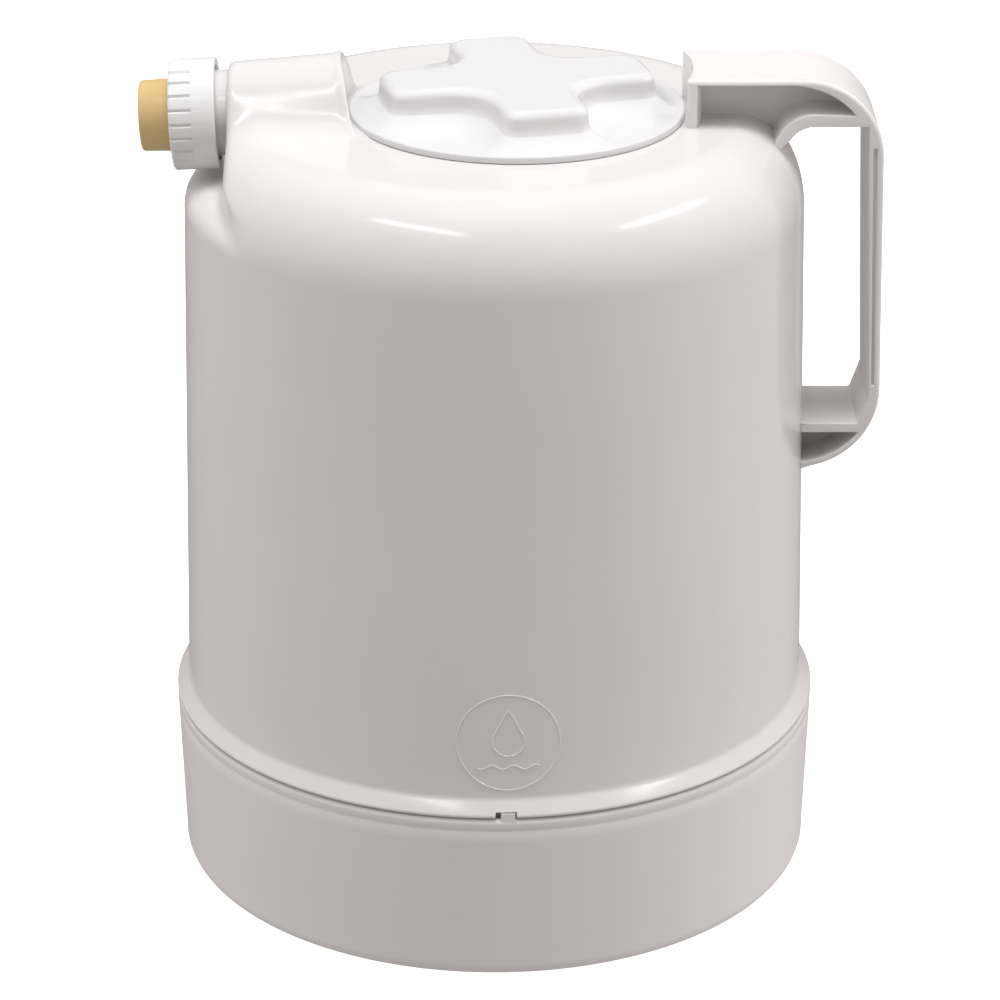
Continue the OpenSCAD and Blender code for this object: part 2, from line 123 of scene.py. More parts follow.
def make(name, points, faces, angle=35.0, merge=0.002):
    """A closed mesh object from points in millimetres, with its faces turned outwards."""
    mesh = bpy.data.meshes.new(name)
    mesh.from_pydata((np.asarray(points, float) * MM).tolist(), [], faces)
    bm = bmesh.new()
    bm.from_mesh(mesh)
    bmesh.ops.remove_doubles(bm, verts=bm.verts, dist=merge * MM)
    bmesh.ops.dissolve_degenerate(bm, edges=bm.edges, dist=1e-7)
    bmesh.ops.recalc_face_normals(bm, faces=bm.faces)
    bm.to_mesh(mesh)
    bm.free()
    obj = bpy.data.objects.new(name, mesh)
    bpy.context.scene.collection.objects.link(obj)
    shade(obj, angle)
    print(f"{name}: {len(mesh.vertices)} points, {len(mesh.polygons)} faces")
    return obj


def spin_points(profile, angles):
    """Points of a (radius, height) profile turned round Z to each angle."""
    profile = np.asarray(profile, float)
    r, z = profile[:, 0][:, None], profile[:, 1][:, None]
    a = np.asarray(angles)[None, :]
    return np.stack([r * np.cos(a), r * np.sin(a), z + 0 * a], -1)


def arc(cx, cy, r, start, end, n=8):
    """Points of an arc, in degrees, as a list of pairs."""
    a = np.radians(np.linspace(start, end, n + 1))
    return [(cx + r * math.cos(t), cy + r * math.sin(t)) for t in a]


def lathe(name, profile, segments=128, place=None, angle=35.0, closed=True):
    """A turned piece. A closed profile makes a tube wall; an open one starts and ends on the axis."""
    angles = np.linspace(0, 2 * math.pi, segments, endpoint=False)
    points = spin_points(profile, angles)
    faces = grid_faces(len(profile), segments, close_rows=closed)
    flat = points.reshape(-1, 3)
    if place is not None:
        flat = flat @ np.array(place.to_3x3()).T + np.array(place.translation)
    return make(name, flat, faces, angle)


def join(name, pieces, angle=35.0):
    """Several meshes as one object."""
    bm = bmesh.new()
    for piece in pieces:
        bm.from_mesh(piece.data)
        bpy.data.objects.remove(piece)
    mesh = bpy.data.meshes.new(name)
    bm.to_mesh(mesh)
    bm.free()
    obj = bpy.data.objects.new(name, mesh)
    bpy.context.scene.collection.objects.link(obj)
    shade(obj, angle)
    return obj


# The outlet's own frame: local Z runs outwards along the spout
OUTLET = Matrix.Translation((-OUTLET_X, 0, OUTLET_Z)) @ Matrix.Rotation(-(math.pi / 2 + FALL), 4, "Y")
CAP = Matrix.Translation((CAP_X, 0, 0))

# %% [markdown]
# ## Materials
# White plastic is never one flat white. A moulding has a very fine skin texture that softens reflections, a
# slow cloud in its colour, and small dull scuffs that change its gloss. The three are separate noises at
# separate scales, all read from Object coordinates so that they stay on the piece when it moves.


# %% A node helper and the moulded plastic
def material(name):
    """A new node material and its parts: tree, shader and a function that adds nodes."""
    mat = bpy.data.materials.new(name)
    mat.use_nodes = True
    tree = mat.node_tree
    shader = tree.nodes["Principled BSDF"]

    def add(kind, **values):
        node = tree.nodes.new(kind)
        for key, value in values.items():
            if hasattr(node, key):
                setattr(node, key, value)
            else:
                node.inputs[key.replace("_", " ")].default_value = value
        return node

    return mat, tree, shader, add


def ramp(add, tree, source, stops):
    """A colour ramp fed by a value."""
    node = add("ShaderNodeValToRGB")
    while len(node.color_ramp.elements) < len(stops):
        node.color_ramp.elements.new(0.5)
    for element, (place, colour) in zip(node.color_ramp.elements, stops):
        element.position = place
        element.color = (*colour, 1.0) if len(colour) == 3 else colour
    tree.links.new(source, node.inputs["Fac"])
    return node.outputs["Color"]


def grey(v):
    return (v, v, v)


def plastic(name, colour, rough=0.22, spread=0.06, grain=1800.0, grain_depth=0.012, tint=0.02, cloud=14.0):
    """Glossy moulded plastic: slow cloud in colour, smaller scuffs in gloss, fine skin grain in the bump."""
    mat, tree, shader, add = material(name)
    link = tree.links.new
    coords = add("ShaderNodeTexCoord").outputs["Object"]
    slow = add("ShaderNodeTexNoise", Scale=cloud, Detail=4.0, Roughness=0.55)
    link(coords, slow.inputs["Vector"])
    darker = tuple(c * (1 - tint) for c in colour)
    lighter = tuple(min(1.0, c * (1 + tint)) for c in colour)
    link(ramp(add, tree, slow.outputs["Fac"], [(0.3, darker), (0.7, lighter)]), shader.inputs["Base Color"])
    scuff = add("ShaderNodeTexNoise", Scale=95.0, Detail=8.0, Roughness=0.7)
    link(coords, scuff.inputs["Vector"])
    levels = [(0.35, rough - spread / 2), (0.62, rough + spread / 2), (0.8, rough + spread)]
    gloss = ramp(add, tree, scuff.outputs["Fac"], [(place, grey(level)) for place, level in levels])
    link(gloss, shader.inputs["Roughness"])
    skin = add("ShaderNodeTexNoise", Scale=grain, Detail=2.0)
    link(coords, skin.inputs["Vector"])
    bump = add("ShaderNodeBump", Strength=0.12, Distance=grain_depth * MM)
    link(skin.outputs["Fac"], bump.inputs["Height"])
    link(bump.outputs["Normal"], shader.inputs["Normal"])
    shader.inputs["IOR"].default_value = 1.5
    shader.inputs["Subsurface Weight"].default_value = 0.08
    shader.inputs["Subsurface Radius"].default_value = (0.004, 0.0035, 0.003)
    return mat


def metal(name, colour, rough=0.3, streak=220.0):
    """Drawn or turned metal: streaks along one axis in colour and roughness."""
    mat, tree, shader, add = material(name)
    link = tree.links.new
    coords = add("ShaderNodeTexCoord").outputs["Object"]
    stretch = add("ShaderNodeMapping")
    stretch.inputs["Scale"].default_value = (1.0, 1.0, 12.0)
    link(coords, stretch.inputs["Vector"])
    lines = add("ShaderNodeTexNoise", Scale=streak, Detail=5.0)
    link(stretch.outputs["Vector"], lines.inputs["Vector"])
    dark = tuple(c * 0.8 for c in colour)
    link(ramp(add, tree, lines.outputs["Fac"], [(0.3, dark), (0.7, colour)]), shader.inputs["Base Color"])
    link(ramp(add, tree, lines.outputs["Fac"], [(0.3, grey(rough * 0.8)), (0.7, grey(rough * 1.4))]),
         shader.inputs["Roughness"])
    shader.inputs["Metallic"].default_value = 1.0
    return mat


def rubber(name, colour, dark, rough=0.62, patch=42.0):
    """Gum rubber: cloudy colour, dusty roughness and a fine pitted skin."""
    mat, tree, shader, add = material(name)
    link = tree.links.new
    coords = add("ShaderNodeTexCoord").outputs["Object"]
    cloud = add("ShaderNodeTexNoise", Scale=patch, Detail=6.0, Roughness=0.65)
    link(coords, cloud.inputs["Vector"])
    link(ramp(add, tree, cloud.outputs["Fac"], [(0.32, dark), (0.62, colour)]), shader.inputs["Base Color"])
    dust = add("ShaderNodeTexNoise", Scale=420.0, Detail=6.0)
    link(coords, dust.inputs["Vector"])
    link(ramp(add, tree, dust.outputs["Fac"], [(0.3, grey(rough - 0.1)), (0.7, grey(rough + 0.12))]),
         shader.inputs["Roughness"])
    bump = add("ShaderNodeBump", Strength=0.5, Distance=0.06 * MM)
    link(dust.outputs["Fac"], bump.inputs["Height"])
    link(bump.outputs["Normal"], shader.inputs["Normal"])
    shader.inputs["Subsurface Weight"].default_value = 0.15
    shader.inputs["Subsurface Radius"].default_value = (0.003, 0.002, 0.001)
    return mat


BODY_WHITE = plastic("body white plastic", (0.705, 0.69, 0.685), rough=0.15)
HANDLE_WHITE = plastic("handle white plastic", (0.765, 0.75, 0.745), rough=0.2)
CUP_WHITE = plastic("base cup white plastic", (0.74, 0.725, 0.72), rough=0.3, spread=0.04)
CAP_WHITE = plastic("cap white plastic", (0.705, 0.70, 0.705), rough=0.16)
NUT_WHITE = plastic("nut white plastic", (0.76, 0.76, 0.76), rough=0.2)
PLUG_WHITE = plastic("cap plug plastic", (0.72, 0.72, 0.70), rough=0.4)
FLOOR_PLASTIC = plastic("tank floor plastic", (0.6, 0.6, 0.58), rough=0.45)
NYLON = plastic("terminal block nylon", (0.72, 0.7, 0.6), rough=0.45)
DARK_NYLON = plastic("gland nylon", (0.16, 0.16, 0.165), rough=0.42, tint=0.1)
PHENOLIC = plastic("thermostat moulding", (0.16, 0.075, 0.04), rough=0.5, tint=0.15)
TAN_RUBBER = rubber("tan gum rubber", (0.72, 0.53, 0.26), (0.58, 0.4, 0.16), rough=0.45)
SEAL_RUBBER = rubber("black seal rubber", (0.05, 0.05, 0.052), (0.02, 0.02, 0.021), patch=90.0)
SILICONE = rubber("red silicone", (0.5, 0.09, 0.06), (0.38, 0.06, 0.04), rough=0.5)
STEEL = metal("zinc plated steel", (0.62, 0.62, 0.6), 0.32)
ELEMENT_STEEL = metal("element sheath", (0.4, 0.39, 0.37), 0.45, 120.0)
BRASS = metal("turned brass", (0.78, 0.58, 0.26), 0.28)
BROWN_SLEEVE = plastic("brown wire sleeve", (0.17, 0.075, 0.035), rough=0.45, tint=0.08)
BLUE_SLEEVE = plastic("blue wire sleeve", (0.03, 0.11, 0.36), rough=0.45, tint=0.08)
GREEN_SLEEVE = plastic("green wire sleeve", (0.2, 0.36, 0.05), rough=0.45, tint=0.1)
print("materials:", len(bpy.data.materials))


def dress(obj, mat, body, slot, *nodes):
    """Gives a finished piece its material and its body, and hides the CAD nodes it stands for. The slot
    argument is not used.
    """
    obj.data.materials.clear()
    obj.data.materials.append(mat)
    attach(obj, body)
    if nodes:
        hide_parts(*nodes)
    return obj


# %% [markdown]
# ## The tank as one smooth field
# The tank is a turned shape with a round housing blended into its top, a step cut under the nut and a
# clearance circle round the cap. Boolean cuts would leave hard creases where the real mould has soft blends.
# So the outside is written as a signed distance: each shape is a function that is negative inside, and a
# smooth minimum or maximum joins or cuts them with a rounding of chosen size. A grid of points is then pushed
# out along rays until it lands on the surface.


# %% Distance functions of the tank's outside
def smooth_min(a, b, k):
    h = np.clip(k - np.abs(a - b), 0, None) / k
    return np.minimum(a, b) - h * h * k / 4


def smooth_max(a, b, k):
    return -smooth_min(-a, -b, k)


def smoothstep(x, low, high):
    t = np.clip((x - low) / (high - low), 0, 1)
    return t * t * (3 - 2 * t)


def wall_radius(z):
    """Outside radius of the nearly upright wall at height z."""
    foot_z = FLARE_Z + FLARE_H
    return WALL_FOOT_R + (WALL_TOP_R - WALL_FOOT_R) * (z - foot_z) / (SHOULDER_Z - foot_z)


def body_field(x, y, z):
    """Distance to the turned body: flat top, elliptic shoulder, tapered wall."""
    r = np.hypot(x, y)
    a, b = WALL_TOP_R - FLAT_R, TOP_Z - SHOULDER_Z
    u, v = np.clip(r - FLAT_R, 0, None) / a, np.clip(z - SHOULDER_Z, 0, None) / b
    q = np.maximum(np.hypot(u, v), 1e-6)
    slope = np.maximum(np.hypot(u / a, v / b) / q, 1e-6)
    shoulder = (q - 1) / slope
    wall = r - wall_radius(z)
    return np.where(z < SHOULDER_Z, wall, np.where(r < FLAT_R, z - TOP_Z, shoulder))


def ridge_field(x, y, z):
    """Distance to the outlet's housing, which widens slightly towards the cap and ends in a small bead."""
    dx, dz = x + OUTLET_X, z - OUTLET_Z
    inward = dx * math.cos(FALL) + dz * math.sin(FALL)
    lift = dz * math.cos(FALL) - dx * math.sin(FALL)
    from_cap = np.hypot(x - CAP_X, y)
    bead = 0.4 * np.exp(-((from_cap - RECESS_R - 1.3) / 1.1) ** 2)
    return np.maximum(np.hypot(y, lift) - (16.45 + 0.045 * inward + bead), x + 35)


def tank_field(x, y, z):
    """Distance to the finished outside of the tank."""
    field = smooth_min(body_field(x, y, z), ridge_field(x, y, z), 12.0)
    cap_room = np.maximum(np.hypot(x - CAP_X, y) - RECESS_R, TOP_Z + 0.7 - z)
    field = smooth_max(field, -cap_room, 1.0)
    step = smooth_max(x + OUTLET_X, NOTCH_Z - z, 4.0)
    rounding = 2.6 + 6.5 * (1 - smoothstep(z, NOTCH_Z + 1, NOTCH_Z + 9))
    return smooth_max(field, -step, rounding)


def land(points, anchors, depth=0.0):
    """Moves points along rays from their anchors until the field there equals -depth."""
    ray = points - anchors
    steps = np.linspace(0.5, 2.6, 90)
    inside = np.full(len(points), 0.5)
    found = np.zeros(len(points), bool)
    outside = np.full(len(points), 2.6)
    for t in steps:
        p = anchors + ray * t
        out = tank_field(*p.T) + depth > 0
        fresh = out & ~found
        outside[fresh] = t
        found |= out
        inside[~found] = t
    for _ in range(26):
        middle = (inside + outside) / 2
        p = anchors + ray * middle[:, None]
        out = tank_field(*p.T) + depth > 0
        outside = np.where(out, middle, outside)
        inside = np.where(out, inside, middle)
    return anchors + ray * ((inside + outside) / 2)[:, None]


print("field on the wall, top and in the step:",
      [round(float(tank_field(np.float64(x), np.float64(0.0), np.float64(z))), 2)
       for x, z in ((101.7, 231), (0, 261), (-95, 250))])

# %% [markdown]
# ## The tank's grid
# Rings run from the filler mouth over the flat top, round the shoulder and down the wall. They are close
# together where the housing and the step are, and so are the columns on that side. The first rings are
# centred on the cap and the last on the tank, so the rings in between slide from one centre to the other.
# A second, coarser set of rings 2.6 mm further in makes the inside of the wall, so the tank is a real hollow
# shell that can be looked into when the cap is off.

# %% Rings and columns of the tank
fine_half = math.radians(36)
fine = np.linspace(math.pi - fine_half, math.pi + fine_half, 160)
coarse = np.linspace(math.pi + fine_half, 3 * math.pi - fine_half, 184)[1:-1]
columns = np.concatenate([fine, coarse])
GROOVE_R = (47.0, 52.2)
GROOVE_Z = 259.6
SKIN_T = 2.4


def circle_ring(centre_x, radius, z):
    return np.stack([centre_x + radius * np.cos(columns), radius * np.sin(columns), z + 0 * columns], -1)


NEAR_CAP = (53.0, 54.5, 56.0, 56.8, 57.05, 57.3, 57.7, 58.1, 58.6, 59.2, 60.0)


def top_rings(n):
    """Rings of the flat top: first round the cap, then n rings that slide over to the tank's own centre."""
    rings = [circle_ring(CAP_X, r, TOP_Z) for r in NEAR_CAP]
    for t in np.linspace(0, 1, n + 1)[1:]:
        rings.append(circle_ring(CAP_X * (1 - t), NEAR_CAP[-1] + (FLAT_R - NEAR_CAP[-1]) * t, TOP_Z))
    return rings


def shoulder_rings(n, t=0.0):
    rings = []
    for a in np.radians(np.linspace(90, 0, n + 1)[1:]):
        r = FLAT_R + (WALL_TOP_R - FLAT_R - t) * math.cos(a)
        rings.append(circle_ring(0, r, SHOULDER_Z + (TOP_Z - SHOULDER_Z - t) * math.sin(a)))
    return rings


def wall_rings(heights, t=0.0):
    return [circle_ring(0, wall_radius(z) - t, z) for z in heights]


def landed(rings, depth=0.0):
    """Rings pushed out or in to the field, each point along its own ray. Rays near the cap are upright."""
    points = np.concatenate(rings)
    lean = 1 - 0.25 * smoothstep(np.hypot(points[:, 0] - CAP_X, points[:, 1]), 58.0, 74.0)
    anchors = points * np.stack([lean, lean, 1 + 0 * lean], -1)
    anchors[:, 2] = np.minimum(points[:, 2], 228.0)
    moved = land(points, anchors, depth)
    return list(moved.reshape(len(rings), -1, 3))


dense_heights = np.linspace(SHOULDER_Z - 0.8, SHOULDER_Z - 10, 10)
low_heights = np.linspace(SHOULDER_Z - 16, FLARE_Z + FLARE_H + 1.6, 22)
outer = landed(top_rings(30) + shoulder_rings(54) + wall_rings(dense_heights))
inner = landed(top_rings(8)[3::2] + shoulder_rings(18) + wall_rings(dense_heights[::3]), WALL)
print("rings on the blended outside:", len(outer), "points each:", len(columns))

# %% [markdown]
# The mouth, the gasket's groove, the flare and the skirt inside the cup are plain turned steps. A moulded
# edge is never knife sharp, so every corner of these steps is drawn as a tiny two-point chamfer that catches
# the light as a thin line.

# %% Close the tank's wall and build it
mouth = [circle_ring(CAP_X, MOUTH_R, 243.0), circle_ring(CAP_X, MOUTH_R, 260.3),
         circle_ring(CAP_X, MOUTH_R + 0.25, 260.8), circle_ring(CAP_X, GROOVE_R[0] - 0.2, TOP_Z),
         circle_ring(CAP_X, GROOVE_R[0], TOP_Z - 0.2), circle_ring(CAP_X, GROOVE_R[0], GROOVE_Z),
         circle_ring(CAP_X, GROOVE_R[1], GROOVE_Z), circle_ring(CAP_X, GROOVE_R[1], TOP_Z - 0.3),
         circle_ring(CAP_X, GROOVE_R[1] + 0.3, TOP_Z)]
flare_profile = arc(WALL_FOOT_R + 2.2, FLARE_Z + FLARE_H + 1.0, 2.2, 180, 232, 5)
flare_profile += arc(RIM_R - 0.8, FLARE_Z + 0.8, 0.8, 50, -90, 6)
flare_profile += [(WALL_FOOT_R + 0.3, FLARE_Z), (WALL_FOOT_R, FLARE_Z - 0.4), (WALL_FOOT_R, SKIRT_Z + 0.4),
                  (WALL_FOOT_R - 0.4, SKIRT_Z), (WALL_FOOT_R - SKIN_T, SKIRT_Z), (WALL_FOOT_R - SKIN_T, 62.0),
                  (90.0, 62.0), (90.0, 70.0), (WALL_FOOT_R - SKIN_T - 0.4, 70.0)]
flare = [circle_ring(0, r, z) for r, z in flare_profile]
inside = wall_rings([z for z in low_heights[::-3] if z > 72], WALL) + inner[::-1]
collar = [circle_ring(CAP_X, MOUTH_R + 9, TOP_Z - WALL - 0.2), circle_ring(CAP_X, MOUTH_R + 9, TOP_Z - 4.4),
          circle_ring(CAP_X, MOUTH_R + 3, TOP_Z - 4.4), circle_ring(CAP_X, MOUTH_R + 3, 243.4),
          circle_ring(CAP_X, MOUTH_R + 2.6, 243.0)]
rings = mouth + outer + wall_rings(low_heights) + flare + inside + collar
tank = make("tank", np.concatenate(rings), grid_faces(len(rings), len(columns), close_rows=True), 32.0)

# %% [markdown]
# ## Screw threads with Geometry Nodes
# Four pieces carry the same kind of thread: a helix with a trapezoid tooth. The node tree draws a spiral,
# sweeps a four-sided profile along it and sets the material. Its inputs are the sizes that a maker would
# give: radius, rise of the tooth, lead, height and the width of the tooth at its foot. The ends are closed by
# Fill Caps.


# %% A node tree for a helical thread
def tree_input(tree, name, kind, value):
    socket = tree.interface.new_socket(name=name, in_out="INPUT", socket_type=kind)
    socket.default_value = value
    return socket.identifier


def maths(tree, operation, a, b):
    """A maths node; a and b are numbers or sockets."""
    node = tree.nodes.new("ShaderNodeMath")
    node.operation = operation
    for socket, value in zip(node.inputs, (a, b)):
        if isinstance(value, (int, float)):
            socket.default_value = value
        else:
            tree.links.new(value, socket)
    return node.outputs[0]


def run_nodes(name, tree, inputs, source=None):
    """Evaluates a node tree on an object and returns the result as a plain mesh object."""
    mesh = source.data if source else bpy.data.meshes.new(name + "_seed")
    host = source or bpy.data.objects.new(name + "_seed", mesh)
    if not source:
        bpy.context.scene.collection.objects.link(host)
    modifier = host.modifiers.new("nodes", "NODES")
    modifier.node_group = tree
    for key, value in inputs.items():
        modifier[key] = value
    bpy.context.view_layer.update()
    graph = bpy.context.evaluated_depsgraph_get()
    result = bpy.data.meshes.new_from_object(host.evaluated_get(graph))
    bpy.data.objects.remove(host)
    obj = bpy.data.objects.new(name, result)
    bpy.context.scene.collection.objects.link(obj)
    print(f"{name}: {len(result.vertices)} points from nodes")
    return obj


def thread_tree():
    tree = bpy.data.node_groups.new("screw thread", "GeometryNodeTree")
    tree.interface.new_socket(name="Geometry", in_out="OUTPUT", socket_type="NodeSocketGeometry")
    ids = {}
    for name, value in (("Radius", 0.014), ("Rise", 0.0012), ("Sink", -0.0003), ("Turns", 0.75),
                        ("Height", 0.006), ("Foot width", 0.0018), ("Tip width", 0.0009), ("Run-out", 0.06)):
        ids[name] = tree_input(tree, name, "NodeSocketFloat", value)
    ids["Material"] = tree.interface.new_socket(
        name="Material", in_out="INPUT", socket_type="NodeSocketMaterial").identifier
    new, link = tree.nodes.new, tree.links.new
    given = new("NodeGroupInput")
    spiral = new("GeometryNodeCurveSpiral")
    spiral.inputs["Resolution"].default_value = 120
    link(given.outputs["Turns"], spiral.inputs["Rotations"])
    link(given.outputs["Radius"], spiral.inputs["Start Radius"])
    link(given.outputs["Radius"], spiral.inputs["End Radius"])
    link(given.outputs["Height"], spiral.inputs["Height"])
    upright = new("GeometryNodeSetCurveNormal")
    upright.mode = "Z_UP"
    link(spiral.outputs["Curve"], upright.inputs["Curve"])
    # the tooth shrinks to a third at both ends: distance to the nearer end, divided by the run-out
    place = new("GeometryNodeSplineParameter")
    from_end = maths(tree, "SUBTRACT", 1.0, place.outputs["Factor"])
    nearer = maths(tree, "MINIMUM", place.outputs["Factor"], from_end)
    share = maths(tree, "DIVIDE", nearer, given.outputs["Run-out"])
    size = maths(tree, "MINIMUM", maths(tree, "ADD", share, 0.3), 1.0)
    half_foot = maths(tree, "MULTIPLY", given.outputs["Foot width"], 0.5)
    half_tip = maths(tree, "MULTIPLY", given.outputs["Tip width"], 0.5)
    profile = new("GeometryNodeCurvePrimitiveQuadrilateral")
    profile.mode = "POINTS"
    corners = (("Sink", half_foot, -1), ("Rise", half_tip, -1), ("Rise", half_tip, 1), ("Sink", half_foot, 1))
    for index, (level, width, sign) in enumerate(corners, 1):
        point = new("ShaderNodeCombineXYZ")
        link(given.outputs[level], point.inputs["X"])
        link(maths(tree, "MULTIPLY", width, sign), point.inputs["Y"])
        link(point.outputs[0], profile.inputs[f"Point {index}"])
    sweep = new("GeometryNodeCurveToMesh")
    sweep.inputs["Fill Caps"].default_value = True
    link(upright.outputs["Curve"], sweep.inputs["Curve"])
    link(profile.outputs["Curve"], sweep.inputs["Profile Curve"])
    link(size, sweep.inputs["Scale"])
    real = new("GeometryNodeRealizeInstances")
    paint = new("GeometryNodeSetMaterial")
    out = new("NodeGroupOutput")
    link(sweep.outputs["Mesh"], real.inputs["Geometry"])
    link(real.outputs["Geometry"], paint.inputs["Geometry"])
    link(given.outputs["Material"], paint.inputs["Material"])
    link(paint.outputs["Geometry"], out.inputs["Geometry"])
    return tree, ids


THREAD, THREAD_IDS = thread_tree()


def threads(name, radius, rise, lead, z0, z1, widths, mat, place, starts=2, phase=0.0):
    """All starts of a thread, one mesh each, placed in its own frame. A negative rise stands into a bore."""
    values = {"Radius": radius, "Rise": rise, "Sink": -0.3 * math.copysign(1, rise), "Height": z1 - z0,
              "Foot width": widths[0], "Tip width": widths[1]}
    inputs = {THREAD_IDS[key]: value * MM for key, value in values.items()}
    inputs[THREAD_IDS["Turns"]] = (z1 - z0) / lead
    inputs[THREAD_IDS["Run-out"]] = 0.08
    inputs[THREAD_IDS["Material"]] = mat
    pieces = []
    for k in range(starts):
        obj = run_nodes(f"{name}_{k}", THREAD, inputs)
        turn = Matrix.Rotation(2 * math.pi * k / starts + phase, 4, "Z")
        move = Matrix.Translation((0, 0, z0 * MM))
        seat = place.copy()
        seat.translation = place.translation * MM
        obj.data.transform(seat @ move @ turn)
        bm = bmesh.new()
        bm.from_mesh(obj.data)
        bmesh.ops.recalc_face_normals(bm, faces=bm.faces)
        bm.to_mesh(obj.data)
        bm.free()
        pieces.append(obj)
    return pieces


# %% [markdown]
# ## Neck, key notch and mark on the tank
# The neck is a short tube with a two-start thread for the union nut. The notch for the base cup's key is cut
# out of the flare with an exact boolean, because it is small and its corners are square in a real mould too.
# The mark on the front is a plain raised ring with a drop above a level line. It is a generic sign for
# liquid, a fifth of a millimetre high.


# %% Strokes that lie on the wall, and boolean cuts
def stroke(name, path, width=0.8, height=0.2, closed=False):
    """A raised line on the front wall. Path points are (sideways, up) in millimetres."""
    path = np.asarray(path, float)
    ahead = np.roll(path, -1, 0) if closed else np.vstack([path[1:], path[-1:]])
    behind = np.roll(path, 1, 0) if closed else np.vstack([path[:1], path[:-1]])
    along = ahead - behind
    along /= np.linalg.norm(along, axis=1)[:, None]
    across = np.stack([-along[:, 1], along[:, 0]], -1)
    section = [(-0.5, -0.5), (-0.42, 0.1), (-0.2, 1.0), (0.2, 1.0), (0.42, 0.1), (0.5, -0.5)]
    rows = []
    for side, rise in section:
        p = path + across * side * width
        r = wall_radius(p[:, 1]) + rise * height
        a = -math.pi / 2 + p[:, 0] / r
        rows.append(np.stack([r * np.cos(a), r * np.sin(a), p[:, 1]], -1))
    points = np.stack(rows, 1)
    n, m = points.shape[:2]
    faces = grid_faces(n, m, close_rows=closed)
    if not closed:
        faces += [list(range(m)), [(n - 1) * m + k for k in range(m)]]
    return make(name, points.reshape(-1, 3), faces, 50.0)


def boolean(obj, cutter, operation="DIFFERENCE", angle=32.0):
    """Exact boolean of two closed meshes; the cutter is used up."""
    modifier = obj.modifiers.new("cut", "BOOLEAN")
    modifier.operation = operation
    modifier.object = cutter
    modifier.solver = "EXACT"
    bpy.context.view_layer.update()
    graph = bpy.context.evaluated_depsgraph_get()
    mesh = bpy.data.meshes.new_from_object(obj.evaluated_get(graph))
    obj.modifiers.clear()
    obj.data = mesh
    bpy.data.objects.remove(cutter)
    shade(obj, angle)
    return obj


def block(name, low, high):
    """A box from its lowest to its highest corner, in millimetres."""
    x0, y0, z0 = low
    x1, y1, z1 = high
    points = [(x, y, z) for z in (z0, z1) for x, y in ((x0, y0), (x1, y0), (x1, y1), (x0, y1))]
    faces = [(3, 2, 1, 0), (4, 5, 6, 7)] + [(k, (k + 1) % 4, (k + 1) % 4 + 4, k + 4) for k in range(4)]
    return make(name, points, faces)


tank = boolean(tank, block("notch_cutter", (0.4, -112, FLARE_Z - 1), (7.2, -105.15, FLARE_Z + 2)))
neck = lathe("neck", [(10.0, -2.0), (NECK_R, -2.0), (NECK_R, NECK_L - 0.5), (NECK_R - 0.5, NECK_L),
                      (10.6, NECK_L), (10.0, NECK_L - 0.6)], 96, OUTLET)
neck_thread = threads("neck_thread", NECK_R, 1.2, 8, 4.6, 10.6, (1.8, 0.9), BODY_WHITE, OUTLET)
mouth_thread = threads("mouth_thread", MOUTH_R, -1.7, 16, 250.5, 256.5, (3.0, 1.6), BODY_WHITE, CAP)
MARK_X, MARK_Z, MARK_R = 4.5, 84.0, 16.6
full_turn = np.linspace(0, 2 * math.pi, 96, endpoint=False)


def on_mark(x, z):
    """A point of the front wall, measured from the middle of the mark."""
    return MARK_X + x, MARK_Z + z


ring = [on_mark(MARK_R * math.cos(t), MARK_R * math.sin(t)) for t in full_turn]
drop = [on_mark(5.2 * math.cos(t), 0.5 + 5.2 * math.sin(t)) for t in np.radians(np.linspace(140, 400, 40))]
drop += [on_mark(1.2, 9.6), on_mark(0.0, 11.2), on_mark(-1.2, 9.6)]
level = [on_mark(x, 0.7 * math.sin(x * 0.9) - 8.6) for x in np.linspace(-10, 10, 50)]
mark = [stroke("mark_ring", ring, closed=True), stroke("mark_drop", drop, closed=True),
        stroke("mark_level", level)]
tank = join("tank", [tank, neck] + neck_thread + mouth_thread + mark, 32.0)
dress(tank, BODY_WHITE, "vessel", "body_white", "tank_shell")

# %% [markdown]
# ## The handle as a relief
# The handle was moulded between two halves of a tool that part along its middle. Seen from the side it is a
# flat drawing with four levels: full width bands, a shallow groove along the grip, bays that sink to a thin
# web in the middle, and the open finger gap. So the mesh is made from the drawing: the plan is triangulated,
# every region gets its level, and upright walls join the levels. A bevel then rounds the edges, and weighted
# normals keep the flat faces evenly lit right up to the rounding.


# %% Build a two-sided relief from outlines
def within(loop, x, y):
    """True if a point is inside a closed outline."""
    inside_it = False
    for (x1, y1), (x2, y2) in zip(loop, loop[1:] + loop[:1]):
        if (y1 > y) != (y2 > y) and x < (x2 - x1) * (y - y1) / (y2 - y1) + x1:
            inside_it = not inside_it
    return inside_it


PLAN_STEP = 4.0                          # longest stretch of an outline between two plan points


def spaced(loop, step):
    """A closed outline with extra points on its long sides, which keeps the triangles well shaped."""
    out = []
    for (x1, y1), (x2, y2) in zip(loop, loop[1:] + loop[:1]):
        n = max(1, round(math.hypot(x2 - x1, y2 - y1) / step))
        out += [(x1 + (x2 - x1) * k / n, y1 + (y2 - y1) * k / n) for k in range(n)]
    return out


